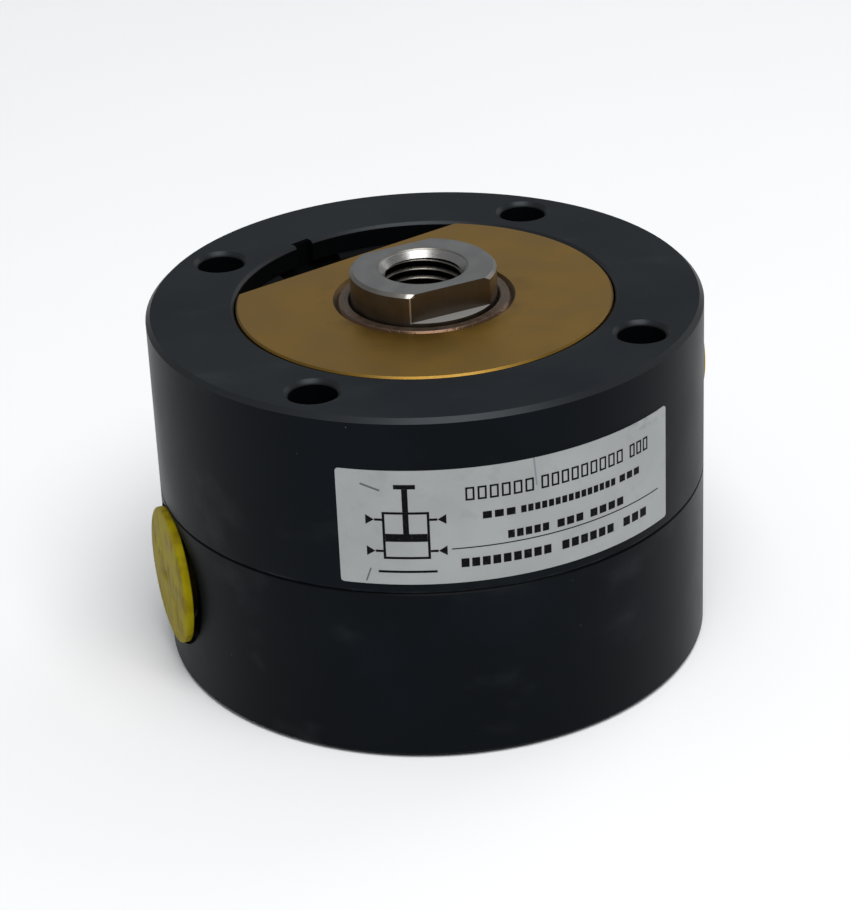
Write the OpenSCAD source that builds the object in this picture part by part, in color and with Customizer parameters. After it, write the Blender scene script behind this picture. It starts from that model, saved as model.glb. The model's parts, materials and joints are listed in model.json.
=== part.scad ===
// Round double-acting pneumatic cylinder with a short stroke.
// Two black body halves hold a liner between a solid floor and a gold gland.
// The steel rod comes out of the gland along +Z and ends in a female thread.
// Origin: centre of the base face. +X points at the upper port, and the
// lower port is opposite it. Lengths are millimetres, angles are degrees.

/* [Body] */
// Outer diameter of both body halves
body_d = 60.325; // [60:0.005:61]
// Bevel on the top and bottom outer edges
edge_bevel = 0.5; // [0.3:0.05:0.7]
// Bevel on each half where they meet
seam_bevel = 0.18; // [0.1:0.01:0.3]
// Solid floor below the chamber
floor_t = 9.525; // [9.3:0.005:10]
// Diameter of the circle through the mounting holes
mount_circle_d = 50.8; // [50.6:0.05:51.2]
// Diameter of each mounting hole
mount_hole_d = 5.11; // [4.8:0.01:5.3]
// Width of the bevel at the mouth of each mounting hole
mount_bevel = 0.5; // [0.3:0.05:0.6]

/* [Cylinder] */
// Inner diameter of the liner, in which the piston runs
bore_d = 38.1; // [37.9:0.05:38.2]
// Wall of the liner
liner_wall = 1.5875; // [1.5:0.0005:1.6]
// Travel of the rod
stroke = 12.7; // [10:0.1:13]
// Height of the piston
piston_h = 7.7375; // [7.6:0.0005:8]
// How far each bumper stands out of the piston
bumper_out = 0.79375; // [0.6:0.00005:1]

/* [Gland] */
// Thickness of the gland
gland_t = 7.9375; // [7.8:0.0005:8.2]
// Play between the gland and its seat, on the radius
gland_play = 0.2175; // [0.1:0.0005:0.3]
// Distance of the gland's flat from the cylinder axis
gland_flat_x = 14; // [13.8:0.05:14.6]
// Direction that the gland's flat faces
gland_flat_angle = 108.3; // [100:0.1:116]
// Diameter of the retaining ring's wire
wire_d = 1.58; // [1.4:0.02:1.6]
// Angle of the split in the retaining ring
ring_split = 24; // [16:1:30]
// Width of the notch for prying the ring out
notch_w = 2.3; // [1.8:0.1:2.8]

/* [Rod] */
// Diameter of the rod
rod_d = 15.875; // [15.8:0.005:15.95]
// Height of the rod's end above the body when retracted
rod_out = 3.5; // [3.2:0.1:5]
// Width across the two wrench flats
wrench_w = 12.7; // [12.2:0.1:13.2]
// Direction that one wrench flat faces
wrench_angle = 98.2; // [0:0.1:180]
// Major diameter of the rod's female thread
thread_d = 9.525; // [9:0.005:9.6]
// Depth of the rod's female thread
thread_depth = 12.7; // [9:0.1:12.8]

/* [Ports] */
// Height of the lower port above the base
lower_port_z = 11.7; // [11.5:0.05:11.8]
// Depth of the upper port below the top face
upper_port_drop = 10.4; // [10.2:0.05:10.6]
// Diameter of each port's hole
port_d = 8.6; // [8.4:0.05:8.8]
// Diameter of the spotface around each port
spotface_d = 15.8; // [15.6:0.05:16]
// Diameter of the plugs' flanges
flange_d = 15.2; // [14.8:0.05:15.3]
// Thickness of the plugs' flanges
flange_t = 1.1; // [0.9:0.05:1.3]
// How far the lower plug stands off its spotface
lower_plug_off = 1; // [0.4:0.05:1.2]

/* [Label] */
// Length of the label along the body's curve
label_w = 38.1; // [30:0.1:40]
// Height of the label
label_h = 13; // [10:0.1:13.5]
// Thickness of the label
label_t = 0.12; // [0.05:0.01:0.2]
// Distance of the label's top edge below the top face
label_drop = 5.65; // [5:0.05:6]

/* [Fasteners] */
// Diameter of the body screws' thread
body_screw_d = 3.505; // [3.4:0.005:3.6]
// Length of the body screws below their heads
body_screw_l = 22.225; // [20:0.005:23]
// Diameter of the piston screw's thread
piston_screw_d = 6.35; // [6:0.05:6.4]

/* [Hidden] */

$fn = 96;

// Past is how far a cut runs beyond the face that it goes through.
past = 2;
// Fit is the play of sealed, sliding and drilled faces, on the radius.
fit = 0.03;
// End gap is what stays free at each end of the piston's travel.
end_gap = 0.1;

body_r = body_d / 2;
bore_r = bore_d / 2;
liner_r = bore_r + liner_wall;
seat_r = liner_r + 0.01;
chamber_h = stroke + piston_h + 2 * bumper_out + 2 * end_gap;
gland_z = floor_t + chamber_h;
body_h = gland_z + gland_t;
seam_z = body_h / 2;

mount_r = mount_circle_d / 2;
mount_hole_r = mount_hole_d / 2;
MOUNT_ANGLES = [45, 135, 225, 315];

// Ports are drilled to port_end_x, and a narrow passage goes on into the liner.
port_r = port_d / 2;
port_bevel = 0.9;
port_end_x = 23.3;
passage_r = 1;
spotface_r = spotface_d / 2;
spotface_x = 28.9;
upper_port_z = body_h - upper_port_drop;
flange_r = flange_d / 2;
flange_round = 0.3;
plug_stem_l = 5;
plug_stem_r = port_r - 0.05;
plug_wall = 0.9;
upper_plug_off = 0.05;

// Static seals: round cords that lie in square grooves.
liner_seal_d = 1.28;
liner_groove_r = seat_r + 1.32;
liner_groove_w = 2;
lower_liner_seal_z = 17.6;
upper_liner_seal_z = 22.2;
gland_seal_d = 1.48;
gland_groove_w = 2;
gland_seal_z = gland_z + 1.7;

gland_r = seat_r - gland_play;
gland_groove_r = seat_r - gland_seal_d - fit;
gland_bevel = 0.2;
gland_flat_z = body_h - 4.4;
bore_bevel = 0.3;
ring_z = body_h - 3.2;
ring_mid_r = seat_r - 0.1;
ring_groove_r = wire_d / 2 + 0.04;
notch_angle = gland_flat_angle + 4.1;
notch_r = seat_r + 1;

// The bushing is pressed in flush with the gland's outer face.
rod_r = rod_d / 2;
bushing_l = 4.7625;
bushing_r = 9.525;
bushing_z = body_h - bushing_l;
bushing_bevel = 0.33;
gland_bore_r = rod_r + 0.2;
rod_cup_r = rod_r + 1.95;
rod_cup_z = gland_z + 0.7;
rod_cup_h = 2.1;

// The rod stands in a pocket in the piston's upper face.
piston_z = floor_t + end_gap + bumper_out;
piston_top_z = piston_z + piston_h;
piston_r = bore_r - 0.08;
relief_r = bore_r - 1.45;
relief_h = 2;
piston_seal_d = 1.5;
piston_groove_r = bore_r - piston_seal_d - 0.1;
piston_groove_w = 1.7;
piston_mid_z = piston_z + piston_h / 2;
pocket_h = 2;
rod_z = piston_top_z - pocket_h;
rod_top_z = body_h + rod_out;
shelf_z = body_h + 0.3;
rod_bevel = 0.35;
thread_r = thread_d / 2;
thread_mouth_r = thread_r + 0.12;
drill_slope = 0.6;
bumper_in_r = 10.2;
bumper_out_r = 13.2;
bumper_seat = 1;

piston_screw_r = piston_screw_d / 2;
piston_screw_z = piston_z + 0.15;
piston_screw_head_r = 6.3;
piston_screw_head_h = piston_screw_head_r - piston_screw_r;
piston_screw_top_z = rod_z + 7.6;
piston_screw_hex = 3.97;
rod_seal_d = 1.3;
rod_seal_mid_r = 5.6;

body_screw_r = body_screw_d / 2;
body_screw_head_r = 2.87;
body_screw_head_h = 3.5;
body_screw_head_z = 4;
body_screw_hex = 2.78;
BODY_SCREW_ANGLES = [70, 110, 250, 290];

// A ring of square section around Z.
module tube(outer_r, inner_r, low_z, high_z) {
    rotate_extrude() translate([inner_r, low_z]) square([outer_r - inner_r, high_z - low_z]);
}

// A round cord bent into a ring around Z.
module o_ring(mid_r, cord_d, z) {
    rotate_extrude() translate([mid_r, z]) circle(d = cord_d, $fn = 32);
}

// Holes at given angles on a circle around Z.
module hole_circle(angles, circle_r, hole_r, low_z, high_z) {
    for (angle = angles)
        rotate(angle) translate([circle_r, 0, low_z]) cylinder(r = hole_r, h = high_z - low_z);
}

// A hexagonal socket, deep along +Z from z = 0.
module hex_socket(across, depth) {
    translate([0, 0, -past]) cylinder(d = across / cos(30), h = depth + past, $fn = 6);
}

// The hole, spotface and passage of one port, cut outwards along +X.
module port_cut(port_z) {
    translate([0, 0, port_z]) rotate([0, 90, 0]) {
        cylinder(r = passage_r, h = port_end_x + past);
        translate([0, 0, port_end_x]) cylinder(r = port_r, h = body_r);
        translate([0, 0, spotface_x - port_bevel])
            cylinder(r1 = port_r, r2 = port_r + 2 * port_bevel, h = 2 * port_bevel);
        translate([0, 0, spotface_x]) cylinder(r = spotface_r, h = body_r);
    }
}

// A push-in plug whose flange lies against back_x, hollow from its inner end.
module port_plug(back_x, port_z) {
    flat_r = flange_r - flange_round;
    translate([0, 0, port_z]) rotate([0, 90, 0]) translate([0, 0, back_x]) rotate_extrude() polygon([
        [0, flange_t], [flat_r, flange_t], [flange_r, flange_t - flange_round],
        [flange_r, flange_round / 2], [flange_r - flange_round / 2, 0], [plug_stem_r, 0],
        [plug_stem_r, 0.5 - plug_stem_l], [plug_stem_r - 0.5, -plug_stem_l],
        [plug_stem_r - plug_wall, -plug_stem_l], [plug_stem_r - plug_wall, -0.4], [0, -0.4]
    ]);
}

module lower_body() {
    color([0.09, 0.1, 0.11]) difference() {
        rotate_extrude() polygon([
            [0, 0], [body_r - edge_bevel, 0], [body_r, edge_bevel], [body_r, seam_z - seam_bevel],
            [body_r - seam_bevel, seam_z], [seat_r, seam_z], [seat_r, floor_t], [0, floor_t]
        ]);
        hole_circle(MOUNT_ANGLES, mount_r, mount_hole_r, -past, seam_z + past);
        for (angle = MOUNT_ANGLES) rotate(angle) translate([mount_r, 0, -mount_bevel])
            cylinder(r1 = mount_hole_r + 2 * mount_bevel, r2 = mount_hole_r, h = 2 * mount_bevel);
        hole_circle(BODY_SCREW_ANGLES, mount_r, body_screw_r + 0.15, -past, seam_z + past);
        hole_circle(BODY_SCREW_ANGLES, mount_r, body_screw_head_r + 0.2, -past, body_screw_head_z);
        rotate(180) port_cut(lower_port_z);
        lower_groove_z = lower_liner_seal_z - liner_groove_w / 2;
        tube(liner_groove_r, liner_r - past, lower_groove_z, lower_groove_z + liner_groove_w);
    }
}

module upper_body() {
    color([0.1, 0.11, 0.12]) difference() {
        rotate_extrude() polygon([
            [seat_r, seam_z], [body_r - seam_bevel, seam_z], [body_r, seam_z + seam_bevel],
            [body_r, body_h - edge_bevel], [body_r - edge_bevel, body_h],
            [seat_r + bore_bevel, body_h], [seat_r, body_h - bore_bevel]
        ]);
        hole_circle(MOUNT_ANGLES, mount_r, mount_hole_r, seam_z - past, body_h + past);
        for (angle = MOUNT_ANGLES) rotate(angle) translate([mount_r, 0, body_h - mount_bevel])
            cylinder(r1 = mount_hole_r, r2 = mount_hole_r + 2 * mount_bevel, h = 2 * mount_bevel);
        screw_end_z = body_screw_head_z + body_screw_l;
        hole_circle(BODY_SCREW_ANGLES, mount_r, body_screw_r + 0.01, seam_z - past, screw_end_z + 1.5);
        port_cut(upper_port_z);
        upper_groove_z = upper_liner_seal_z - liner_groove_w / 2;
        tube(liner_groove_r, liner_r - past, upper_groove_z, upper_groove_z + liner_groove_w);
        o_ring(ring_mid_r, 2 * ring_groove_r, ring_z);
        rotate(notch_angle) translate([seat_r - past, -notch_w / 2, ring_z])
            cube([notch_r - seat_r + past, notch_w, body_h]);
    }
}

module cylinder_liner() {
    lead = 0.3;
    color([0.62, 0.63, 0.64]) difference() {
        rotate_extrude() polygon([
            [bore_r + lead, floor_t], [liner_r - lead, floor_t], [liner_r, floor_t + lead],
            [liner_r, gland_z - lead], [liner_r - lead, gland_z], [bore_r + lead, gland_z],
            [bore_r, gland_z - lead], [bore_r, floor_t + lead]
        ]);
        translate([0, 0, upper_port_z]) rotate([0, 90, 0]) cylinder(r = passage_r + 0.3, h = body_r);
        translate([0, 0, lower_port_z]) rotate([0, -90, 0]) cylinder(r = passage_r + 0.3, h = body_r);
    }
}

module liner_seal(z) {
    color([0.05, 0.05, 0.05]) o_ring(seat_r + liner_seal_d / 2 + 0.01, liner_seal_d, z);
}

module lower_liner_seal() { liner_seal(lower_liner_seal_z); }

module upper_liner_seal() { liner_seal(upper_liner_seal_z); }

module body_screws() {
    color([0.16, 0.16, 0.17])
    for (angle = BODY_SCREW_ANGLES) rotate(angle) translate([mount_r, 0, body_screw_head_z]) difference() {
        rotate_extrude($fn = 48) polygon([
            [0, -body_screw_head_h], [body_screw_head_r - 0.3, -body_screw_head_h],
            [body_screw_head_r, 0.3 - body_screw_head_h], [body_screw_head_r, 0], [body_screw_r, 0],
            [body_screw_r, body_screw_l - 0.5], [body_screw_r - 0.5, body_screw_l], [0, body_screw_l]
        ]);
        translate([0, 0, -body_screw_head_h]) hex_socket(body_screw_hex, 1.8);
    }
}

module gland() {
    seal_low_z = gland_seal_z - gland_groove_w / 2;
    seal_high_z = gland_seal_z + gland_groove_w / 2;
    color([0.62, 0.45, 0.16]) difference() {
        rotate_extrude() polygon([
            [gland_bore_r, gland_z], [gland_r - gland_bevel, gland_z], [gland_r, gland_z + gland_bevel],
            [gland_r, seal_low_z], [gland_groove_r, seal_low_z], [gland_groove_r, seal_high_z],
            [gland_r, seal_high_z], [gland_r, body_h - gland_bevel], [gland_r - gland_bevel, body_h],
            [bushing_r + bushing_bevel, body_h], [bushing_r, body_h - bushing_bevel],
            [bushing_r, bushing_z], [gland_bore_r, bushing_z], [gland_bore_r, rod_cup_z + rod_cup_h],
            [rod_cup_r, rod_cup_z + rod_cup_h], [rod_cup_r, rod_cup_z], [gland_bore_r, rod_cup_z]
        ]);
        o_ring(ring_mid_r, 2 * ring_groove_r, ring_z);
        rotate(gland_flat_angle) {
            translate([gland_flat_x, -body_r, gland_flat_z]) cube([body_r, body_d, gland_t]);
            translate([gland_flat_x, 0, body_h]) rotate([90, 0, 0])
                linear_extrude(height = body_d, center = true) polygon([
                    [-gland_bevel, 0], [0, -gland_bevel], [past, -gland_bevel], [past, past],
                    [-gland_bevel, past]
                ]);
        }
    }
}

module gland_seal() {
    color([0.05, 0.05, 0.05]) o_ring(seat_r - gland_seal_d / 2 - 0.01, gland_seal_d, gland_seal_z);
}

module retaining_ring() {
    color([0.42, 0.42, 0.43]) rotate(notch_angle + ring_split / 2)
        rotate_extrude(angle = 360 - ring_split) translate([ring_mid_r, ring_z]) circle(d = wire_d, $fn = 32);
}

module rod_bushing() {
    inner_r = rod_r + fit;
    color([0.6, 0.56, 0.5]) rotate_extrude() polygon([
        [inner_r + bushing_bevel, bushing_z], [bushing_r, bushing_z], [bushing_r, body_h - bushing_bevel],
        [bushing_r - bushing_bevel, body_h], [inner_r + bushing_bevel, body_h],
        [inner_r, body_h - bushing_bevel], [inner_r, bushing_z + bushing_bevel]
    ]);
}

// A lip seal: two lips open towards the pressure below them.
module rod_seal() {
    low_z = rod_cup_z + 0.05;
    high_z = rod_cup_z + rod_cup_h - 0.05;
    inner_r = rod_r + fit;
    mid_r = (rod_cup_r + inner_r) / 2;
    color([0.08, 0.08, 0.09]) rotate_extrude() polygon([
        [inner_r + 0.2, high_z], [rod_cup_r - 0.2, high_z], [rod_cup_r - 0.02, high_z - 0.8],
        [rod_cup_r - 0.02, low_z + 0.2], [rod_cup_r - 0.3, low_z], [mid_r + 0.3, low_z + 0.1],
        [mid_r, low_z + 1], [mid_r - 0.3, low_z + 0.1], [inner_r + 0.2, low_z], [inner_r, low_z + 0.3]
    ]);
}

module piston_rod() {
    screw_hole_r = piston_screw_r + 0.01;
    screw_hole_z = piston_screw_top_z + 1;
    thread_end_z = rod_top_z - thread_depth;
    color([0.55, 0.54, 0.52]) difference() {
        rotate_extrude() polygon([
            [screw_hole_r, rod_z], [rod_r - rod_bevel, rod_z], [rod_r, rod_z + rod_bevel],
            [rod_r, rod_top_z - rod_bevel], [rod_r - rod_bevel, rod_top_z], [thread_mouth_r, rod_top_z],
            [thread_r, rod_top_z + thread_r - thread_mouth_r], [thread_r, thread_end_z],
            [0, thread_end_z - drill_slope * thread_r],
            [0, screw_hole_z + drill_slope * screw_hole_r], [screw_hole_r, screw_hole_z]
        ]);
        for (side = [0, 180]) rotate(wrench_angle + side)
            translate([wrench_w / 2, -rod_r - past, shelf_z]) cube([rod_r, rod_d + 2 * past, rod_out + past]);
    }
}

module piston() {
    top_z = piston_top_z;
    pocket_z = top_z - pocket_h;
    screw_r = piston_screw_r + 0.1;
    head_r = piston_screw_head_r + 0.1;
    groove_low_z = piston_mid_z - piston_groove_w / 2;
    groove_high_z = piston_mid_z + piston_groove_w / 2;
    color([0.66, 0.67, 0.68]) difference() {
        rotate_extrude() polygon([
            [screw_r, pocket_z], [screw_r, piston_z + head_r - screw_r + 0.15], [head_r, piston_z + 0.15],
            [head_r, piston_z], [relief_r, piston_z], [relief_r, piston_z + relief_h],
            [piston_r, piston_z + relief_h], [piston_r, groove_low_z], [piston_groove_r, groove_low_z],
            [piston_groove_r, groove_high_z], [piston_r, groove_high_z], [piston_r, top_z - relief_h],
            [relief_r, top_z - relief_h], [relief_r, top_z], [rod_r + 0.01, top_z], [rod_r + 0.01, pocket_z]
        ]);
        tube(rod_seal_mid_r + rod_seal_d / 2 + 0.1, rod_seal_mid_r - rod_seal_d / 2 - 0.1,
            pocket_z - rod_seal_d, pocket_z + past);
        tube(bumper_out_r + 0.01, bumper_in_r - 0.01, top_z - bumper_seat, top_z + past);
        tube(bumper_out_r + 0.01, bumper_in_r - 0.01, piston_z - past, piston_z + bumper_seat);
    }
}

module piston_seal() {
    color([0.07, 0.07, 0.07]) o_ring(bore_r - fit - piston_seal_d / 2, piston_seal_d, piston_mid_z);
}

module piston_rod_seal() {
    color([0.05, 0.05, 0.05]) o_ring(rod_seal_mid_r, rod_seal_d - 0.02, rod_z - rod_seal_d / 2);
}

module piston_screw() {
    color([0.3, 0.3, 0.31]) difference() {
        rotate_extrude($fn = 64) polygon([
            [0, piston_screw_z], [piston_screw_head_r, piston_screw_z],
            [piston_screw_r, piston_screw_z + piston_screw_head_h],
            [piston_screw_r, piston_screw_top_z - 0.6], [piston_screw_r - 0.6, piston_screw_top_z],
            [0, piston_screw_top_z]
        ]);
        translate([0, 0, piston_screw_z]) hex_socket(piston_screw_hex, 2.2);
    }
}

module bumper(low_z) {
    color([0.75, 0.6, 0.3]) tube(bumper_out_r, bumper_in_r, low_z, low_z + bumper_seat + bumper_out);
}

module rod_side_bumper() { bumper(piston_top_z - bumper_seat); }

module cap_side_bumper() { bumper(piston_z - bumper_out); }

module upper_port_plug() {
    color([0.78, 0.74, 0.12]) port_plug(spotface_x + upper_plug_off, upper_port_z);
}

module lower_port_plug() {
    color([0.78, 0.74, 0.12]) rotate(180) port_plug(spotface_x + lower_plug_off, lower_port_z);
}

module label() {
    arc = label_w / body_r * 180 / PI;
    color([0.85, 0.86, 0.86]) rotate(-90 - arc / 2) rotate_extrude(angle = arc)
        translate([body_r, body_h - label_drop - label_h]) square([label_t, label_h]);
}

lower_body();
upper_body();
cylinder_liner();
lower_liner_seal();
upper_liner_seal();
body_screws();
gland();
gland_seal();
retaining_ring();
rod_bushing();
rod_seal();
piston_rod();
piston();
piston_seal();
piston_rod_seal();
piston_screw();
rod_side_bumper();
cap_side_bumper();
upper_port_plug();
lower_port_plug();
label();
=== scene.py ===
import json
import math

import bpy
from mathutils import Matrix, Vector


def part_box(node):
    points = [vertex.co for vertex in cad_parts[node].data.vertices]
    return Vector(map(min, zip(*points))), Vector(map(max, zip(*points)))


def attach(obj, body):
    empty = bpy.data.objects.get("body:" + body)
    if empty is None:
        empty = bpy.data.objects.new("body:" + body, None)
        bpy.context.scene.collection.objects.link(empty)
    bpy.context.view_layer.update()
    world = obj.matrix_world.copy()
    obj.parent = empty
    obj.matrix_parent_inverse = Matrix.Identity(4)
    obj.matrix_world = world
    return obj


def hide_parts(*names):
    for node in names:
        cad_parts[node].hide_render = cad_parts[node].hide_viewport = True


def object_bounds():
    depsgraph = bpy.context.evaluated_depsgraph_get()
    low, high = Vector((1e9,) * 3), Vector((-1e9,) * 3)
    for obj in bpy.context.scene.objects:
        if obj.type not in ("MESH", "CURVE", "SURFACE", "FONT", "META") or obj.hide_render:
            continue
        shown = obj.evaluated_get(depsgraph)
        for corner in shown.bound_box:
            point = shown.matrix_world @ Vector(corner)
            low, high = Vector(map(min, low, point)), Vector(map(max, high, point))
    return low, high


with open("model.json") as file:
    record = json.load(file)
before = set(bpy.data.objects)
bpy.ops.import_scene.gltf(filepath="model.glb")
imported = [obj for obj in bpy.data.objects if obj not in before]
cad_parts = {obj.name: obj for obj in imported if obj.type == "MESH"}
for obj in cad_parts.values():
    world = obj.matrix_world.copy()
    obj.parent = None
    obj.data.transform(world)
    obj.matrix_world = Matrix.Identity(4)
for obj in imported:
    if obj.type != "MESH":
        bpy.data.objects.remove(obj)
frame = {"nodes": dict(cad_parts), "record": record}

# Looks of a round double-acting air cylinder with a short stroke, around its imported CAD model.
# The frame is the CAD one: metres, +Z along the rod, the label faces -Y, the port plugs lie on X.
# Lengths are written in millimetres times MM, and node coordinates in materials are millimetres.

MM = 0.001
cad_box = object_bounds()
nodes = frame["nodes"]
mounts = {mount["name"]: mount for mount in frame["record"]["mounts"]}

# Sizes that the CAD model gives, in millimetres.
BODY_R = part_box("upper_body")[1].y / MM
BODY_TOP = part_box("upper_body")[1].z / MM
SEAM_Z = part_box("upper_body")[0].z / MM
GLAND_R = -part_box("gland")[0].y / MM
SEAT_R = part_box("cylinder_liner")[1].x / MM + 0.01
BUSHING_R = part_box("rod_bushing")[1].x / MM
BUSHING_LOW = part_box("rod_bushing")[0].z / MM
BUSHING_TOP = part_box("rod_bushing")[1].z / MM
ROD_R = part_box("piston_rod")[1].x / MM
ROD_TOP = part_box("piston_rod")[1].z / MM
THREAD_R = mounts["rod_thread"]["dims"]["r_mm"]
THREAD_L = mounts["rod_thread"]["dims"]["length_mm"]
LABEL_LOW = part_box("label")[0].z / MM
LABEL_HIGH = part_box("label")[1].z / MM
LABEL_HALF = math.asin(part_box("label")[1].x / MM / BODY_R) * BODY_R
LABEL_R = -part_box("label")[0].y / MM

# Sizes that no box or mount of the CAD model gives, in millimetres, and an angle.
ROD_FLAT = 6.35
ROD_FLAT_ANGLE = math.radians(278.2)
PLUG_FLANGE_T = 1.1
PLUG_STEM_R = 4.25
PLUG_STEM_L = 5.0


def srgb(red, green, blue):
    """A colour given as 0 to 255 display values, as the linear colour that nodes take."""
    def linear(value):
        value /= 255
        return value / 12.92 if value <= 0.04045 else ((value + 0.055) / 1.055) ** 2.4
    return (linear(red), linear(green), linear(blue), 1.0)


# ---------------------------------------------------------------- materials

class Paint:
    """One procedural material. Inputs are numbers or sockets, and places are in millimetres."""

    def __init__(self, name, **sockets):
        self.material = bpy.data.materials.new(name)
        self.material.use_nodes = True
        self.tree = self.material.node_tree
        self.shader = self.tree.nodes["Principled BSDF"]
        for socket, value in sockets.items():
            self.shader.inputs[socket.replace("_", " ")].default_value = value
        place = self.add("ShaderNodeTexCoord").outputs["Object"]
        self.place = self.vector("SCALE", place, scale=1 / MM)
        split = self.add("ShaderNodeSeparateXYZ")
        self.feed(split.inputs[0], self.place)
        self.x, self.y, self.z = split.outputs
        self.radius = self.length(self.x, self.y)
        normal = self.add("ShaderNodeSeparateXYZ")
        self.feed(normal.inputs[0], self.add("ShaderNodeTexCoord").outputs["Normal"])
        self.facing_up = normal.outputs[2]

    def add(self, kind, **settings):
        node = self.tree.nodes.new(kind)
        for setting, value in settings.items():
            setattr(node, setting, value)
        return node

    def feed(self, socket, value):
        if isinstance(value, bpy.types.NodeSocket):
            self.tree.links.new(value, socket)
        else:
            socket.default_value = value

    def math(self, operation, first, second=0.0):
        node = self.add("ShaderNodeMath", operation=operation)
        self.feed(node.inputs[0], first)
        self.feed(node.inputs[1], second)
        return node.outputs[0]

    def vector(self, operation, first, second=(0, 0, 0), scale=1.0):
        node = self.add("ShaderNodeVectorMath", operation=operation)
        self.feed(node.inputs[0], first)
        self.feed(node.inputs[1], second)
        node.inputs[3].default_value = scale
        return node.outputs[0]

    def combine(self, x=0.0, y=0.0, z=0.0):
        node = self.add("ShaderNodeCombineXYZ")
        for socket, value in zip(node.inputs, (x, y, z)):
            self.feed(socket, value)
        return node.outputs[0]

    def length(self, first, second):
        """Distance from the origin in two directions."""
        squares = self.math("MULTIPLY", first, first), self.math("MULTIPLY", second, second)
        return self.math("SQRT", self.math("ADD", *squares))

    def step(self, value, low, high, to_low=0.0, to_high=1.0):
        """A smooth step from to_low at low to to_high at high. High may be the smaller one."""
        node = self.add("ShaderNodeMapRange", interpolation_type="SMOOTHSTEP")
        if high < low:
            low, high, to_low, to_high = high, low, to_high, to_low
        for socket, number in zip(node.inputs, (value, low, high, to_low, to_high)):
            self.feed(socket, number)
        return node.outputs[0]

    def noise(self, size, place=None, stretch=None, detail=3.0, seed=0.0):
        """Noise from 0 to 1 with features of about that size in millimetres."""
        place = self.place if place is None else place
        if stretch:
            place = self.vector("MULTIPLY", place, stretch)
        if seed:
            place = self.vector("ADD", place, (seed, 1.7 * seed, -0.6 * seed))
        node = self.add("ShaderNodeTexNoise")
        self.feed(node.inputs["Vector"], place)
        node.inputs["Scale"].default_value = 1 / size
        node.inputs["Detail"].default_value = detail
        return node.outputs[0]

    def cells(self, size):
        """Distance to the nearest of many scattered points, in cells of that size."""
        node = self.add("ShaderNodeTexVoronoi")
        self.feed(node.inputs["Vector"], self.place)
        node.inputs["Scale"].default_value = 1 / size
        return node.outputs["Distance"]

    def mix(self, share, first, second):
        """First where share is 0 and second where it is 1."""
        node = self.add("ShaderNodeMix", data_type="RGBA")
        self.feed(node.inputs[0], share)
        self.feed(node.inputs[6], first)
        self.feed(node.inputs[7], second)
        return node.outputs[2]

    def ring(self, radius, height):
        """Distance from a circle around Z."""
        return self.length(self.math("SUBTRACT", self.radius, radius), self.math("SUBTRACT", self.z, height))

    def all_of(self, *masks):
        """A mask where all the masks overlap."""
        product = masks[0]
        for mask in masks[1:]:
            product = self.math("MULTIPLY", product, mask)
        return product

    def any_of(self, *masks):
        """A mask where any of the masks is."""
        largest = masks[0]
        for mask in masks[1:]:
            largest = self.math("MAXIMUM", largest, mask)
        return largest

    def total(self, *heights):
        """Sum of (height in micrometres, pattern) pairs, in millimetres."""
        parts = [self.math("MULTIPLY", pattern, height / 1000) for height, pattern in heights]
        whole = parts[0]
        for part in parts[1:]:
            whole = self.math("ADD", whole, part)
        return whole

    def finish(self, colour, roughness, height):
        """Wires colour, roughness and bump height, and returns the material."""
        self.feed(self.shader.inputs["Base Color"], colour)
        self.feed(self.shader.inputs["Roughness"], roughness)
        bump = self.add("ShaderNodeBump")
        bump.inputs["Distance"].default_value = MM
        self.feed(bump.inputs["Height"], height)
        self.feed(self.shader.inputs["Normal"], bump.outputs[0])
        return self.material


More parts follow.
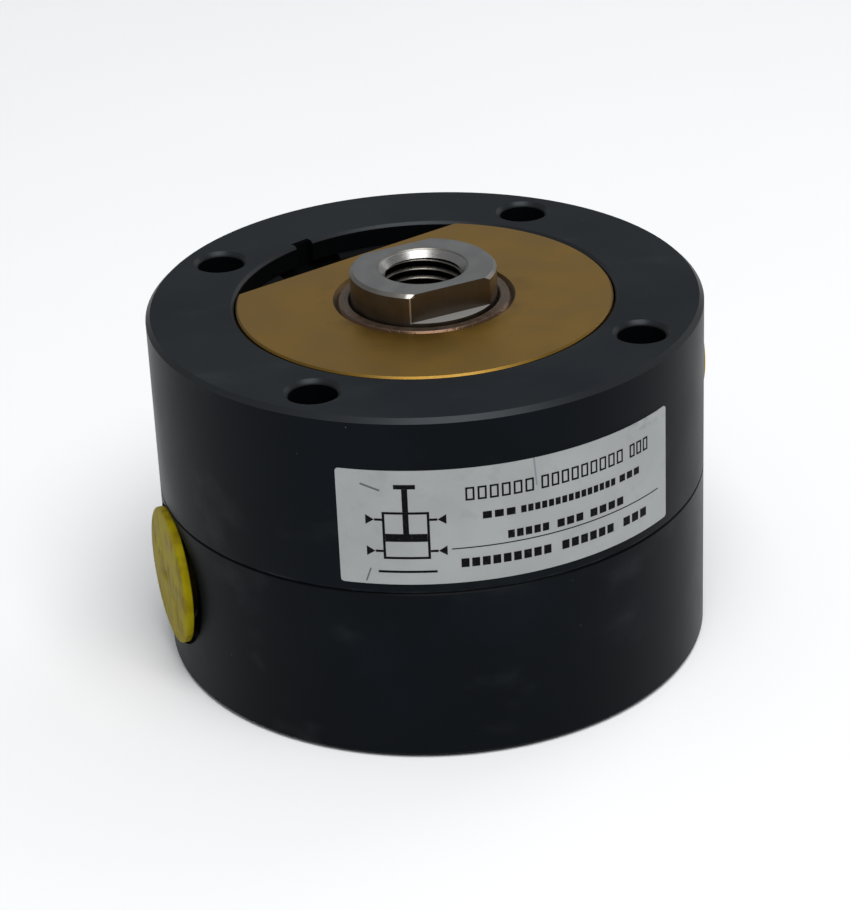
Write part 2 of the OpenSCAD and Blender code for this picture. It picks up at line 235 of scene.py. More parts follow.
def black_anodise(name, edges, seed, bevel_metal, bevel_painted_shading):
    """Satin black anodised aluminium: turning marks, a faint haze, dust, and rubbed edges.

    Edges are (radius, height) circles. Bores, holes and gaps get painted shade, darker than the outside, and
    faces that look up are painted lighter than the sides.
    """
    p = Paint(name, IOR=1.13)
    haze = p.noise(14, detail=4, seed=seed)
    grain = p.noise(0.35, seed=seed)
    turning = p.noise(0.22, p.combine(p.radius, p.z, 0.0), detail=2, seed=seed)
    up = p.step(p.facing_up, 0.5, 0.9)
    scuffs = p.step(p.noise(6, stretch=(0.5, 1, 1), detail=8, seed=seed + 5), 0.55, 0.80)
    dust = p.all_of(p.step(p.cells(2.6), 0.035, 0.015), p.step(p.noise(11, seed=seed), 0.45, 0.6))
    rubbed = p.any_of(*[p.step(p.ring(radius, height), 0.30, 0.10) for radius, height in edges])
    rubbed = p.all_of(rubbed, p.step(p.noise(3.5, detail=5, seed=seed), 0.42, 0.80))
    # Up-facing bevels get a painted tone: on the upper body a lighter line that stands in for a highlight,
    # part metallic so it also reflects the lamp; on the lower body near-black painted shade in the seam.
    bevel = p.all_of(p.step(p.facing_up, 0.5, 0.6), p.step(p.facing_up, 0.9, 0.8))
    below_top = p.all_of(p.step(p.z, BODY_TOP - 0.2, BODY_TOP - 0.6), p.step(p.z, 0.2, 0.6))
    # Painted shade: bores, holes and gaps below the top face are painted near-black and made rough.
    recess_shade = p.all_of(p.step(p.radius, BODY_R - 2.0, BODY_R - 2.2), below_top)
    # Painted light: the sides take a dark tone and faces that look up a lighter one, the same anodise shown
    # lit from above.
    colour = p.mix(p.step(haze, 0.3, 0.7), srgb(9, 13, 17), srgb(13, 17, 22))
    colour = p.mix(up, colour, p.mix(p.step(haze, 0.3, 0.7), srgb(23, 26, 30), srgb(31, 34, 37)))
    colour = p.mix(p.math("MULTIPLY", scuffs, 0.10), colour, srgb(86, 90, 92))
    colour = p.mix(p.math("MULTIPLY", dust, 0.45), colour, srgb(120, 120, 116))
    colour = p.mix(p.math("MULTIPLY", rubbed, 0.16), colour, srgb(92, 96, 100))
    colour = p.mix(p.math("MULTIPLY", bevel, 0.8), colour, bevel_painted_shading)
    colour = p.mix(recess_shade, colour, srgb(3, 5, 7))
    if bevel_metal:
        p.feed(p.shader.inputs["Metallic"], p.all_of(bevel, p.math("SUBTRACT", 1.0, recess_shade), bevel_metal))
    roughness = p.math("ADD", p.step(haze, 0.25, 0.75, 0.30, 0.38), p.math("MULTIPLY", grain, 0.06))
    roughness = p.math("MAXIMUM", roughness, p.math("MULTIPLY", recess_shade, 0.8))
    return p.finish(colour, roughness, p.total((1.2, grain), (1.6, turning), (3, dust)))


def gold_anodise():
    """Gold anodised aluminium, satin, with faint mottling, specks and stains, and painted shade on its outer
    rim and on the bevel of its bore.
    """
    p = Paint("gold_anodise", Metallic=1.0)
    mottle = p.noise(6, detail=5)
    grain = p.noise(0.25)
    turning = p.noise(0.16, p.combine(p.radius, 0.0, 0.0), detail=1)
    specks = p.step(p.cells(2.3), 0.10, 0.04)
    specks = p.all_of(specks, p.step(p.noise(9), 0.5, 0.62))
    stain = p.step(p.noise(4, detail=4, seed=3), 0.42, 0.6)
    stain = p.all_of(p.step(p.radius, BUSHING_R + 3.2, BUSHING_R), stain)
    # Painted shade: the outer rim bevel is darkened to damp its highlight, and the bevel of the bore by the
    # bushing is painted dark brown.
    rim = p.step(p.ring(GLAND_R, BODY_TOP), 0.3, 0.1)
    groove_shade = p.step(p.radius, BUSHING_R + 0.42, BUSHING_R + 0.30)
    groove_shade = p.all_of(groove_shade, p.step(p.z, BODY_TOP - 2, BODY_TOP - 1))
    colour = p.mix(mottle, srgb(144, 111, 45), srgb(158, 123, 53))
    colour = p.mix(p.math("MULTIPLY", stain, 0.40), colour, srgb(112, 82, 26))
    colour = p.mix(p.math("MULTIPLY", specks, 0.5), colour, srgb(84, 62, 30))
    colour = p.mix(p.math("MULTIPLY", rim, 0.8), colour, srgb(104, 80, 40))
    colour = p.mix(p.math("MULTIPLY", groove_shade, 0.85), colour, srgb(58, 40, 20))
    roughness = p.math("ADD", p.step(mottle, 0.3, 0.7, 0.34, 0.42), p.math("MULTIPLY", grain, 0.08))
    return p.finish(colour, roughness, p.total((1.5, grain), (0.8, turning), (-3, specks)))


def turned_steel():
    """The rod's steel: brushed sides, darker milled flats with a painted highlight along their corner, and a
    faced end.
    """
    p = Paint("turned_steel", Metallic=1.0)
    up = p.step(p.facing_up, 0.55, 0.9)
    cosine, sine = math.cos(ROD_FLAT_ANGLE), math.sin(ROD_FLAT_ANGLE)
    across = p.math("ADD", p.math("MULTIPLY", p.x, cosine), p.math("MULTIPLY", p.y, sine))
    along = p.math("SUBTRACT", p.math("MULTIPLY", p.x, sine), p.math("MULTIPLY", p.y, cosine))
    across = p.math("ABSOLUTE", across)
    corner = math.sqrt(ROD_R ** 2 - ROD_FLAT ** 2)
    above = p.step(p.z, BODY_TOP + 0.1, BODY_TOP + 0.3)
    flat = p.step(across, ROD_FLAT + 0.03, ROD_FLAT + 0.01)
    flat = p.all_of(flat, p.step(across, ROD_FLAT - 0.03, ROD_FLAT - 0.01))
    # Painted highlight: a near-white line where each flat meets the round above the body, and a near-white
    # patch on the chamfer at that corner.
    edge = p.length(p.math("SUBTRACT", across, ROD_FLAT), p.math("SUBTRACT", along, corner))
    chamfer = p.all_of(p.step(p.z, ROD_TOP - 0.42, ROD_TOP - 0.34), p.step(p.facing_up, 0.9, 0.8))
    tip = p.all_of(p.step(edge, 0.65, 0.30), chamfer)
    edge = p.any_of(p.all_of(p.step(edge, 0.13, 0.04), above), tip)
    facing = p.noise(0.12, p.combine(p.radius, 0.0, 0.0), detail=2)
    streaks = p.noise(0.35, stretch=(1, 1, 0.05), detail=3)
    grain = p.noise(0.2, detail=4)
    cloud = p.noise(2.5, detail=3)
    rim = p.any_of(p.step(p.ring(ROD_R, ROD_TOP), 0.5, 0.2), p.step(p.ring(THREAD_R, ROD_TOP), 0.4, 0.15))
    side = p.mix(p.step(cloud, 0.35, 0.65), srgb(109, 99, 87), srgb(115, 105, 93))
    side = p.mix(p.math("MULTIPLY", flat, 0.8), side, srgb(96, 89, 80))
    side = p.mix(p.math("MULTIPLY", streaks, 0.35), side, srgb(70, 60, 50))
    top = p.mix(p.step(cloud, 0.3, 0.7), srgb(138, 137, 135), srgb(148, 147, 145))
    shelf = p.all_of(up, p.step(p.z, ROD_TOP - 1.0, ROD_TOP - 1.5))
    colour = p.mix(up, side, top)
    colour = p.mix(shelf, colour, srgb(146, 144, 140))
    p.feed(p.shader.inputs["Metallic"], p.math("SUBTRACT", 1.0, p.math("MULTIPLY", shelf, 0.75)))
    colour = p.mix(p.math("MULTIPLY", rim, 0.25), colour, srgb(120, 118, 114))
    colour = p.mix(edge, colour, srgb(206, 202, 194))
    roughness = p.math("ADD", p.step(cloud, 0.3, 0.7, 0.30, 0.36), p.math("MULTIPLY", grain, 0.10))
    return p.finish(colour, roughness, p.total((1.6, facing), (2.0, streaks), (1.0, grain)))


def sintered_bronze():
    """The bushing's porous, oil-soaked metal, with painted shade on its bevels: near-black by the rod, dark
    brown by the gland.
    """
    p = Paint("sintered_bronze", Metallic=0.75)
    pores = p.step(p.cells(0.40), 0.42, 0.16)
    cloud = p.noise(1.2, detail=5)
    # Painted shade: the bevel by the rod is painted near-black for the gap, and the outer bevel dark brown
    # for the hollow by the gland.
    inner = p.step(p.radius, ROD_R + 0.34, ROD_R + 0.22)
    outer = p.step(p.radius, BUSHING_R - 0.34, BUSHING_R - 0.22)
    colour = p.mix(cloud, srgb(72, 58, 46), srgb(112, 94, 80))
    colour = p.mix(p.math("MULTIPLY", pores, 0.65), colour, srgb(58, 44, 34))
    colour = p.mix(p.math("MULTIPLY", outer, 0.85), colour, srgb(78, 52, 32))
    colour = p.mix(p.math("MULTIPLY", inner, 0.9), colour, srgb(20, 14, 12))
    roughness = p.math("MULTIPLY", p.step(cloud, 0.3, 0.7, 0.36, 0.5), p.step(outer, 0, 1, 1.0, 0.5))
    return p.finish(colour, roughness, p.total((-14, pores), (5, cloud)))


def spring_wire():
    """Phosphated steel wire with lengthwise lines and a few oil marks."""
    p = Paint("spring_wire", IOR=1.1)
    lines = p.noise(0.12, p.combine(p.radius, p.z, 0.0), detail=3)
    marks = p.noise(1.5, detail=5)
    colour = p.mix(marks, srgb(11, 12, 13), srgb(20, 20, 21))
    return p.finish(colour, p.step(marks, 0.3, 0.7, 0.6, 0.75), p.total((4, lines), (1, marks)))


def black_oxide():
    """Screws' black oxide, browned in patches."""
    p = Paint("black_oxide", Metallic=0.85)
    cloud = p.noise(1.1, detail=5)
    grain = p.noise(0.15)
    colour = p.mix(p.step(cloud, 0.35, 0.7), srgb(40, 40, 42), srgb(74, 70, 66))
    return p.finish(colour, p.step(cloud, 0.3, 0.7, 0.34, 0.5), p.total((3, grain), (4, cloud)))


def seal_rubber():
    """Nitrile rubber, slightly greasy, with a bloom."""
    p = Paint("seal_rubber")
    bloom = p.noise(1.4, detail=5)
    grain = p.noise(0.12)
    colour = p.mix(p.step(bloom, 0.4, 0.8), srgb(22, 22, 23), srgb(46, 46, 47))
    return p.finish(colour, p.step(bloom, 0.3, 0.7, 0.38, 0.62), p.total((3, grain), (6, bloom)))


def honed_metal(name, dark, light):
    """Machined aluminium: fine rings from the tool and a soft cloud."""
    p = Paint(name, Metallic=1.0)
    rings = p.noise(0.15, p.combine(p.radius, p.z, 0.0), detail=2)
    cloud = p.noise(4, detail=4)
    grain = p.noise(0.2)
    colour = p.mix(p.step(cloud, 0.3, 0.7), dark, light)
    return p.finish(colour, p.step(cloud, 0.3, 0.7, 0.22, 0.34), p.total((2.5, rings), (1, grain)))


def urethane():
    """Amber translucent urethane of the bumpers."""
    p = Paint("urethane", Subsurface_Weight=0.3, Subsurface_Scale=MM)
    cloud = p.noise(2.2, detail=4)
    grain = p.noise(0.2)
    colour = p.mix(cloud, srgb(196, 148, 70), srgb(224, 182, 100))
    return p.finish(colour, p.step(cloud, 0.3, 0.7, 0.3, 0.45), p.total((2, grain), (3, cloud)))


def plug_plastic(name, axis_z, flange_x):
    """Soft yellow moulded polyethylene, handled and dirty, with painted shade on the stem just under its
    flange.
    """
    p = Paint(name, Subsurface_Weight=0.08, Subsurface_Scale=0.8 * MM, IOR=1.12)
    cloud = p.noise(2.6, detail=5)
    grime = p.step(p.noise(1.3, stretch=(1, 1, 0.6), detail=7, seed=4), 0.46, 0.70)
    grain = p.noise(0.18, detail=4)
    # Painted shade: the first millimetre and a half of the stem under the flange is painted near-black, where
    # the flange shades it.
    inward = p.math("SUBTRACT", flange_x, p.math("ABSOLUTE", p.x))
    from_axis = p.length(p.y, p.math("SUBTRACT", p.z, axis_z))
    neck_shade = p.all_of(p.step(inward, 0.02, 0.12), p.step(inward, 1.5, 1.3), p.step(from_axis, 5.6, 5.2))
    colour = p.mix(p.step(cloud, 0.3, 0.7), srgb(130, 112, 2), srgb(150, 137, 10))
    colour = p.mix(p.math("MULTIPLY", grime, 0.45), colour, srgb(92, 74, 22))
    colour = p.mix(p.math("MULTIPLY", neck_shade, 0.9), colour, srgb(26, 22, 8))
    roughness = p.math("ADD", p.step(cloud, 0.3, 0.7, 0.42, 0.52), p.math("MULTIPLY", grime, 0.1))
    return p.finish(colour, roughness, p.total((6, grain), (14, cloud)))


def stroke(p, arc, start, end, width):
    """Mask of a straight mark on the label, between two (arc, height) points."""
    across, up = end[0] - start[0], end[1] - start[1]
    span = math.hypot(across, up)
    from_arc = p.math("SUBTRACT", arc, start[0])
    from_z = p.math("SUBTRACT", p.z, start[1])
    along = p.math("ADD", p.math("MULTIPLY", from_arc, across / span), p.math("MULTIPLY", from_z, up / span))
    beside = p.math("MULTIPLY", from_z, across / span)
    beside = p.math("SUBTRACT", beside, p.math("MULTIPLY", from_arc, up / span))
    past = p.math("SUBTRACT", along, p.math("MINIMUM", p.math("MAXIMUM", along, 0.0), span))
    return p.step(p.length(past, beside), width / 2 + 0.05, width / 2 - 0.05)


def label_film():
    """White film: a soft haze, thumb smudges, a dirty corner, a crease with painted shade along it, and two
    dark scuffs.
    """
    p = Paint("label_film")
    turn = p.math("ADD", p.math("ARCTAN2", p.y, p.x), math.pi / 2)
    arc = p.math("MULTIPLY", turn, BODY_R)
    haze = p.noise(7, detail=5)
    fibre = p.noise(0.3, detail=4)
    smudge = p.step(p.noise(2.2, detail=7, seed=6), 0.56, 0.74)
    corner = p.all_of(p.step(arc, 11, 15), p.step(p.z, 32.4, 33.6))
    corner = p.all_of(corner, p.step(p.noise(0.9, detail=6), 0.45, 0.62))
    scuffs = p.any_of(
        stroke(p, arc, (-16.5, 32.5), (-14.7, 31.85), 0.22),
        stroke(p, arc, (-16.4, 21.4), (-15.9, 22.8), 0.16))
    crease = stroke(p, arc, (1.2, 34.1), (1.45, 31.0), 0.16)
    colour = p.mix(p.step(haze, 0.3, 0.7), srgb(150, 152, 152), srgb(160, 162, 162))
    colour = p.mix(p.math("MULTIPLY", smudge, 0.18), colour, srgb(116, 116, 114))
    colour = p.mix(p.math("MULTIPLY", corner, 0.35), colour, srgb(86, 88, 92))
    colour = p.mix(p.math("MULTIPLY", scuffs, 0.85), colour, srgb(50, 54, 62))
    # Painted shade: a dark bluish line along the crease.
    colour = p.mix(p.math("MULTIPLY", crease, 0.6), colour, srgb(82, 90, 108))
    roughness = p.step(haze, 0.3, 0.7, 0.42, 0.55)
    return p.finish(colour, roughness, p.total((1.5, fibre), (-14, crease), (-8, scuffs), (10, haze)))


def label_ink():
    """Black thermal print with small dropouts."""
    p = Paint("label_ink", IOR=1.15)
    dropouts = p.step(p.noise(0.22, detail=4), 0.58, 0.74)
    colour = p.mix(p.math("MULTIPLY", dropouts, 0.35), srgb(7, 7, 9), srgb(80, 81, 81))
    return p.finish(colour, p.step(dropouts, 0, 1, 0.5, 0.6), p.total((1, dropouts)))


def studio_floor():
    """Plain pale floor with a barely visible unevenness."""
    p = Paint("studio_floor", Specular_IOR_Level=0.1)
    cloud = p.noise(60, detail=3)
    colour = p.mix(cloud, srgb(249, 249, 249), srgb(251, 251, 251))
    return p.finish(colour, p.step(cloud, 0.3, 0.7, 0.8, 0.9), p.total((20, cloud)))


# ---------------------------------------------------------------- CAD nodes that keep their shape

def dress(node, material):
    """Gives a CAD node its material."""
    slots = nodes[node].data.materials
    slots.clear()
    slots.append(material)


UPPER_EDGES = [(BODY_R, SEAM_Z + 0.1), (SEAT_R, BODY_TOP)]
LOWER_EDGES = [(BODY_R, 0.25)]
# Upper body: bevels painted lighter as a highlight line. Lower body: the seam bevel painted near-black as
# shade in the seam.
dress("upper_body", black_anodise("black_anodise_upper", UPPER_EDGES, 0.0, 0.45, srgb(46, 48, 50)))
dress("lower_body", black_anodise("black_anodise_lower", LOWER_EDGES, 31.0, 0.0, srgb(3, 4, 5)))
dress("gland", gold_anodise())
dress("piston_rod", turned_steel())
dress("retaining_ring", spring_wire())
dress("cylinder_liner", honed_metal("honed_liner", srgb(150, 152, 154), srgb(172, 174, 176)))
dress("piston", honed_metal("turned_piston", srgb(186, 187, 188), srgb(204, 205, 206)))

OXIDE = black_oxide()
RUBBER = seal_rubber()
URETHANE = urethane()
LINER_SEALS = ["lower_liner_seal", "upper_liner_seal"]
OTHER_SEALS = ["gland_seal", "rod_seal", "piston_seal", "piston_rod_seal"]
for screw in ("body_screws", "piston_screw"):
    dress(screw, OXIDE)
for seal in LINER_SEALS + OTHER_SEALS:
    dress(seal, RUBBER)
for bumper in ("rod_side_bumper", "cap_side_bumper"):
    dress(bumper, URETHANE)


# ---------------------------------------------------------------- mesh helpers

def piece(name, points, faces, material, smooth_angle=math.radians(35)):
    """A mesh object from points in millimetres. Faces meet smoothly below smooth_angle."""
    mesh = bpy.data.meshes.new(name)
    mesh.from_pydata([(x * MM, y * MM, z * MM) for x, y, z in points], [], faces)
    mesh.materials.append(material)
    thing = bpy.data.objects.new(name, mesh)
    bpy.context.scene.collection.objects.link(thing)
    mesh.polygons.foreach_set("use_smooth", [True] * len(mesh.polygons))
    mesh.set_sharp_from_angle(angle=smooth_angle)
    mesh.update()
    return thing


def lathe(profile, segments):
    """Points and faces of a closed (radius, height) profile turned around Z."""
    rows = len(profile)
    points = []
    for turn in range(segments):
        angle = 2 * math.pi * turn / segments
        points += [(radius * math.cos(angle), radius * math.sin(angle), height) for radius, height in profile]
    faces = []
    for turn in range(segments):
        here, there = turn * rows, (turn + 1) % segments * rows
        for row in range(rows):
            after = (row + 1) % rows
            faces.append((here + row, there + row, there + after, here + after))
    return points, faces


def arc_points(centre, radius, start, end, steps):
    """Points on an arc of a profile, from angle start to angle end in degrees."""
    angles = [math.radians(start + (end - start) * step / steps) for step in range(steps + 1)]
    return [(centre[0] + radius * math.cos(a), centre[1] + radius * math.sin(a)) for a in angles]


def patch(columns, inner_r, outer_r):
    """Points and faces of a thin closed plate wrapped on the body.

    Each column is (arc from the label's middle, lowest z, highest z).
    """
    points = []
    for arc, low, high in columns:
        angle = arc / BODY_R - math.pi / 2
        for radius, height in ((inner_r, low), (outer_r, low), (outer_r, high), (inner_r, high)):
            points.append((radius * math.cos(angle), radius * math.sin(angle), height))
    faces = [(0, 3, 2, 1)]
    for column in range(len(columns) - 1):
        here, there = 4 * column, 4 * column + 4
        for corner in range(4):
            after = (corner + 1) % 4
            faces.append((here + corner, here + after, there + after, there + corner))
    last = 4 * (len(columns) - 1)
    faces.append((last, last + 1, last + 2, last + 3))
    return points, faces


def joined(parts):
    """One list of points and one of faces from several (points, faces) pairs."""
    points, faces = [], []
    for part_points, part_faces in parts:
        start = len(points)
        points += part_points
        faces += [tuple(start + corner for corner in face) for face in part_faces]
    return points, faces


# ---------------------------------------------------------------- label

# The label: film with round corners, and print of bars and a cylinder symbol, with no lettering.
FILM_T = 0.105
FILM_GAP = 0.004
INK_SINK = 0.005
INK_LOW = BODY_R + FILM_T - INK_SINK
PRINT_GAP = 0.01
CORNER_R = 0.35


def film_columns():
    """Columns of the label's outline, close together in its round corners."""
    corner_steps, flat_steps = 8, 60
    turns = [math.pi / 2 * step / corner_steps for step in range(corner_steps + 1)]
    flat = LABEL_HALF - CORNER_R
    left = [(-flat - CORNER_R * math.cos(a), CORNER_R * (1 - math.sin(a))) for a in turns]
    middle = [(-flat + 2 * flat * step / flat_steps, 0.0) for step in range(1, flat_steps)]
    right = [(-arc, cut) for arc, cut in reversed(left)]
    return [(arc, LABEL_LOW + cut, LABEL_HIGH - cut) for arc, cut in left + middle + right]


def bar(left, right, low, high):
    """An upright rectangle of ink."""
    steps = max(1, round((right - left) / 0.6))
    arcs = [left + (right - left) * step / steps for step in range(steps + 1)]
    return patch([(arc, low, high) for arc in arcs], INK_LOW, LABEL_R)


def box_outline(left, right, low, high, pen):
    """Four bars around a rectangle, a hair apart at the corners."""
    inner_low, inner_high = low + pen + PRINT_GAP, high - pen - PRINT_GAP
    return [
        bar(left, right, low, low + pen), bar(left, right, high - pen, high),
        bar(left, left + pen, inner_low, inner_high),
        bar(right - pen, right, inner_low, inner_high),
    ]


def triangle(tip, base, low, high):
    """A triangle of ink that points along the arc, from its base to its tip."""
    middle, steps = (low + high) / 2, 6
    columns = []
    for step in range(steps + 1):
        share = 0.04 + 0.96 * step / steps
        half = (high - low) / 2 * share
        columns.append((tip + (base - tip) * share, middle - half, middle + half))
    return patch(columns if tip < base else columns[::-1], INK_LOW, LABEL_R)


def word(left, right, low, high, signs, pen):
    """A row of equal blocks that stands for a word. With a pen width they are hollow."""
    pitch = (right - left) / (signs - 0.25)
    parts = []
    for sign in range(signs):
        start = left + sign * pitch
        end = start + 0.75 * pitch
        parts += box_outline(start, end, low, high, pen) if pen else [bar(start, end, low, high)]
    return parts


def cylinder_symbol():
    """The plain drawing sign for a double-acting cylinder, upright, with two air ports."""
    pen, gap = 0.26, PRINT_GAP
    left, right, low, high = -14.5, -9.7, 24.0, 29.4
    middle, base_half, base_z = (left + right) / 2, 3.0, 22.4
    piston_z, piston_t, rod_half, rod_end = 26.0, 0.9, 0.3, 32.0
    cap_half, cap_t, port_l, port_inset = 1.1, 0.5, 0.8, 0.9
    arrow_l, arrow_half = 0.88, 0.55
    parts = box_outline(left, right, low, high, pen)
    parts += [
        bar(left + pen + gap, right - pen - gap, piston_z, piston_z + piston_t),
        bar(middle - rod_half, middle + rod_half, piston_z + piston_t + gap, high - pen - gap),
        bar(middle - rod_half, middle + rod_half, high + gap, rod_end),
        bar(middle - cap_half, middle + cap_half, rod_end + gap, rod_end + cap_t),
        bar(middle - base_half, middle + base_half, base_z, base_z + pen),
    ]
    tip = port_l + 2 * gap
    for port_z in (low + port_inset, high - port_inset):
        port_low, port_high = port_z - pen / 2, port_z + pen / 2
        arrow_low, arrow_high = port_z - arrow_half, port_z + arrow_half
        parts.append(bar(right + gap, right + port_l, port_low, port_high))
        parts.append(triangle(right + tip, right + tip + arrow_l, arrow_low, arrow_high))
        parts.append(bar(left - port_l, left - gap, port_low, port_high))
        parts.append(triangle(left - tip, left - tip - arrow_l, arrow_low, arrow_high))
    return parts


film_points, film_faces = patch(film_columns(), BODY_R + FILM_GAP, BODY_R + FILM_T)
film = piece("label_film", film_points, film_faces, label_film())
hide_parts("label")
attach(film, "housing")

# Lines of print from the top: lowest z, highest z, pen of hollow signs, and (left, right, signs) words.
PRINT_LINES = [
    (30.4, 31.9, 0.20, [(-6.0, 1.15, 6), (1.95, 12.0, 9), (13.0, 15.8, 3)]),
    (28.15, 28.95, None, [(-4.3, -0.9, 3), (-0.3, 10.9, 15), (11.5, 14.4, 3)]),
    (25.5, 26.4, None, [(-1.75, 2.7, 5), (3.65, 6.7, 3), (7.6, 12.0, 4)]),
    (22.8, 23.8, None, [(-6.65, 2.9, 9), (4.15, 10.6, 6), (12.0, 15.5, 3)]),
]
print_parts = cylinder_symbol()
for line_low, line_high, line_pen, words in PRINT_LINES:
    for left, right, signs in words:
        print_parts += word(left, right, line_low, line_high, signs, line_pen)
print_parts.append(bar(-7.55, 17.6, 24.95, 25.07))
ink = piece("label_print", *joined(print_parts), label_ink())
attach(ink, "housing")


# ---------------------------------------------------------------- rod thread and bushing

# The rod's thread: 24 turns to the inch, a sleeve that lies on the hole's plain wall.
def thread_sleeve():
    """Points and faces of the threaded wall, with a wide countersunk mouth and a run-out below."""
    pitch, around, per_turn = 25.4 / 24, 128, 24
    top, depth = ROD_TOP - 0.12, THREAD_L - 0.1
    root, crest, back = THREAD_R - 0.03, THREAD_R - 0.66, THREAD_R - 0.006
    mouth, tail, flank, root_flat = 0.72, 1.4, 2.6, 0.18
    rows = round(depth / pitch * per_turn)
    points = []
    for row in range(rows + 1):
        down = depth * row / rows
        for turn in range(around):
            share = turn / around
            phase = ((down - mouth) / pitch + share) % 1.0
            rise = min(1.0, max(0.0, flank * (0.5 - abs(phase - 0.5)) - root_flat))
            if down > depth - tail:
                rise = max(rise, (down - depth + tail) / tail)
            radius = root + (crest - root) * rise
            if down < mouth:
                radius = root + (crest - root) * down / mouth
            angle = 2 * math.pi * share
            points.append((radius * math.cos(angle), radius * math.sin(angle), top - down))
    inner = len(points)
    for down in (depth, 0.0):
        for turn in range(around):
            angle = 2 * math.pi * turn / around
            points.append((back * math.cos(angle), back * math.sin(angle), top - down))
    loops = [[row * around + turn for turn in range(around)] for row in range(rows + 1)]
    loops += [[inner + turn for turn in range(around)], [inner + around + turn for turn in range(around)]]
    faces = []
    for index, loop in enumerate(loops):
        following = loops[(index + 1) % len(loops)]
        for turn in range(around):
            after = (turn + 1) % around
            faces.append((loop[turn], following[turn], following[after], loop[after]))
    return points, faces


def thread_metal():
    """Cut thread: a bright countersink, soft crests and painted shade in the roots."""
    p = Paint("thread_metal", Metallic=1.0)
    mouth = p.step(p.z, ROD_TOP - 0.90, ROD_TOP - 0.80)
    # Painted shade: the thread's roots are painted near-black.
    root_shade = p.step(p.radius, THREAD_R - 0.20, THREAD_R - 0.60)
    grain = p.noise(0.2, detail=4)
    colour = p.mix(root_shade, srgb(16, 15, 16), srgb(112, 108, 102))
    colour = p.mix(mouth, colour, srgb(146, 144, 141))
    return p.finish(colour, p.step(grain, 0.3, 0.7, 0.26, 0.36), p.total((3, grain)))


thread = piece("rod_thread", *thread_sleeve(), thread_metal(), math.radians(70))
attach(thread, "rod_assembly")


# The rod's bushing, with a bevel on each edge of both its end faces.
BEVEL = 0.33
BUSHING_BORE = ROD_R + 0.03
BUSHING_WALL = BUSHING_R - 0.005
bushing_profile = [
    (BUSHING_BORE, BUSHING_LOW + BEVEL), (BUSHING_BORE + BEVEL, BUSHING_LOW),
    (BUSHING_R - BEVEL, BUSHING_LOW), (BUSHING_WALL, BUSHING_LOW + BEVEL),
    (BUSHING_WALL, BUSHING_TOP - BEVEL), (BUSHING_R - BEVEL, BUSHING_TOP),
    (BUSHING_BORE + BEVEL, BUSHING_TOP), (BUSHING_BORE, BUSHING_TOP - BEVEL),
]
bushing = piece("bevelled_bushing", *lathe(bushing_profile, 128), sintered_bronze())
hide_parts("rod_bushing")
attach(bushing, "housing")


# ---------------------------------------------------------------- shipping plugs

# Each plug has a domed flange with a gate mark, and a hollow stem with three barbs.
def plug_profile(flange_r):
    """Closed profile of a plug around Z, whose domed flange lies on z = 0 and faces +Z."""
    flange_t, stem_r, stem_l = PLUG_FLANGE_T, PLUG_STEM_R, PLUG_STEM_L
    wall, rim, gate_depth, dome_steps, power = 0.9, 0.5, 0.12, 22, 5.0
    profile = [(0.001, flange_t - gate_depth), (0.5, flange_t - gate_depth)]
    for step in range(dome_steps + 1):
        share = math.sin(math.pi / 2 * (0.06 + 0.94 * step / dome_steps))
        dome = (1 - share ** power) ** (1 / power) if share < 1 else 0.0
        profile.append((flange_r * share, rim + (flange_t - rim) * dome))
    profile += arc_points((flange_r - 0.18, 0.18), 0.18, 0, -90, 3)
    profile += [(stem_r + 0.35, 0.0), (stem_r, -0.3)]
    for barb in range(3):
        height = -1.0 - 1.15 * barb
        profile += [(stem_r - 0.22, height), (stem_r, height - 0.12), (stem_r, height - 0.32)]
        profile += [(stem_r - 0.22, height - 0.75)]
    profile += [(stem_r - 0.25, 0.5 - stem_l), (stem_r - 0.6, -stem_l), (stem_r - wall, -stem_l)]
    profile += [(stem_r - wall - 0.1, -0.5), (0.001, -0.4)]
    return profile


def plug(name, node, body, side):
    """A detailed plug in place of the CAD one. Side is +1 on +X and -1 on -X."""
    low, high = (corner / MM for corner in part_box(node))
    axis_z = (low.z + high.z) / 2
    outer = high.x if side > 0 else -low.x
    flange_r = (high.z - low.z) / 2
    back_x = outer - PLUG_FLANGE_T
    points, faces = lathe(plug_profile(flange_r), 96)
    placed = [(side * (back_x + z), side * y, axis_z - x) for x, y, z in points]
    thing = piece(name, placed, faces, plug_plastic(name + "_plastic", axis_z, back_x))
    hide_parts(node)
    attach(thing, body)


plug("upper_plug", "upper_port_plug", "upper_plug", 1)
plug("lower_plug", "lower_port_plug", "lower_plug", -1)


# ---------------------------------------------------------------- stage

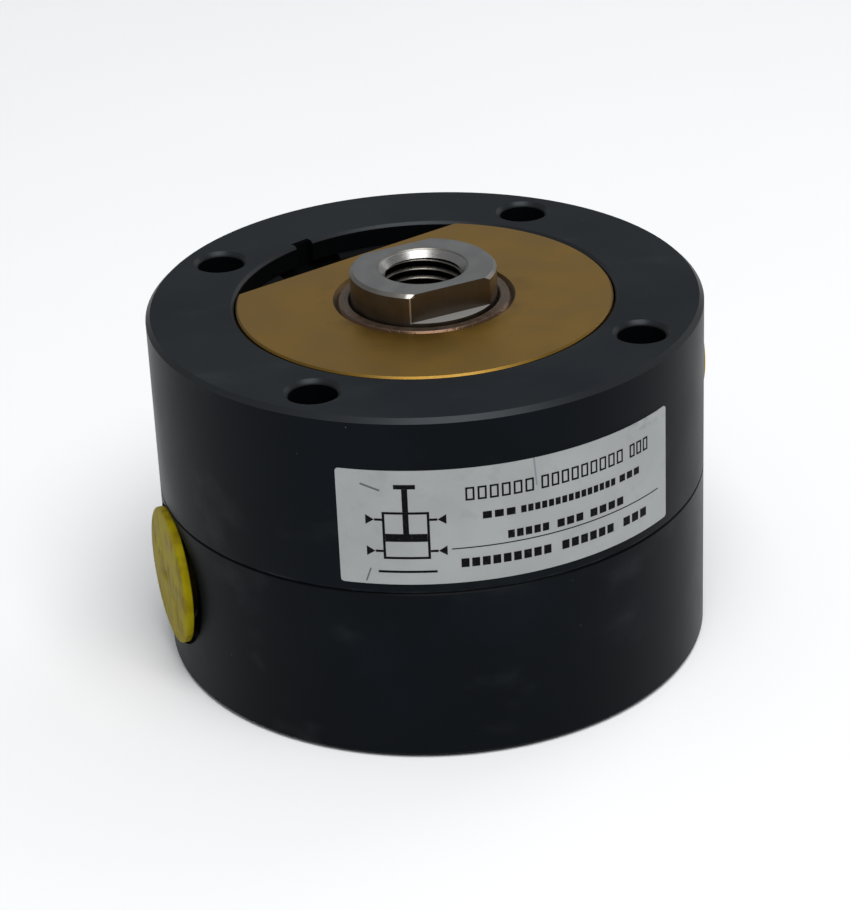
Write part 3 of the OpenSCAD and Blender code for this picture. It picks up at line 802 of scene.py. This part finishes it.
def make_floor():
    """A large round floor, a hair below the object's base."""
    radius, segments, below = 4000, 128, 0.02
    rim = []
    for step in range(segments):
        angle = 2 * math.pi * step / segments
        rim.append((radius * math.cos(angle), radius * math.sin(angle), -below))
    floor = piece("floor", rim, [tuple(range(segments))], studio_floor())


def soft_box(name, azimuth, elevation, distance, width, height, strength):
    """A rectangular soft light that looks at the object's middle. Degrees, and lengths in metres."""
    light = bpy.data.lights.new(name, "AREA")
    light.shape = "RECTANGLE"
    light.size, light.size_y = width, height
    light.energy = strength * width * height * math.pi
    lamp = bpy.data.objects.new(name, light)
    around, up = math.radians(azimuth), math.radians(elevation)
    away = Vector((math.sin(around) * math.cos(up), -math.cos(around) * math.cos(up), math.sin(up)))
    middle = (cad_box[0] + cad_box[1]) / 2
    lamp.location = middle + away * distance
    lamp.rotation_euler = away.to_track_quat("Z", "Y").to_euler()
    bpy.context.scene.collection.objects.link(lamp)


def make_world(strength):
    """An even, slightly cool surround."""
    world = bpy.data.worlds.new("surround")
    world.use_nodes = True
    world.node_tree.nodes["Background"].inputs["Color"].default_value = (0.92, 0.96, 1.0, 1.0)
    world.node_tree.nodes["Background"].inputs["Strength"].default_value = strength
    bpy.context.scene.world = world


def make_camera():
    """The viewpoint: azimuth and pitch in degrees, distance and height in millimetres."""
    azimuth, away, height = -17.56, 285.27, 166.62
    pitch, yaw, roll = 27.151, -0.126, -2.578
    data = bpy.data.cameras.new("camera")
    data.sensor_width = 36.0
    data.lens = 114.04
    data.clip_start, data.clip_end = 0.01, 20.0
    camera = bpy.data.objects.new("camera", data)
    around = math.radians(azimuth)
    place = Vector((math.sin(around) * away, -math.cos(around) * away, height)) * MM
    turn = Matrix.Rotation(around - math.radians(yaw), 4, "Z")
    tilt = Matrix.Rotation(math.radians(90 - pitch), 4, "X")
    lean = Matrix.Rotation(math.radians(roll), 4, "Z")
    camera.matrix_world = Matrix.Translation(place) @ turn @ tilt @ lean
    bpy.context.scene.collection.objects.link(camera)
    bpy.context.scene.camera = camera


make_floor()
make_world(0.40)
soft_box("key", 0, 66, 0.9, 0.6, 0.6, 5.8)
soft_box("rim_right", 120, 35, 1.0, 0.5, 0.7, 1.2)
make_camera()
bpy.context.scene.view_settings.view_transform = "Standard"
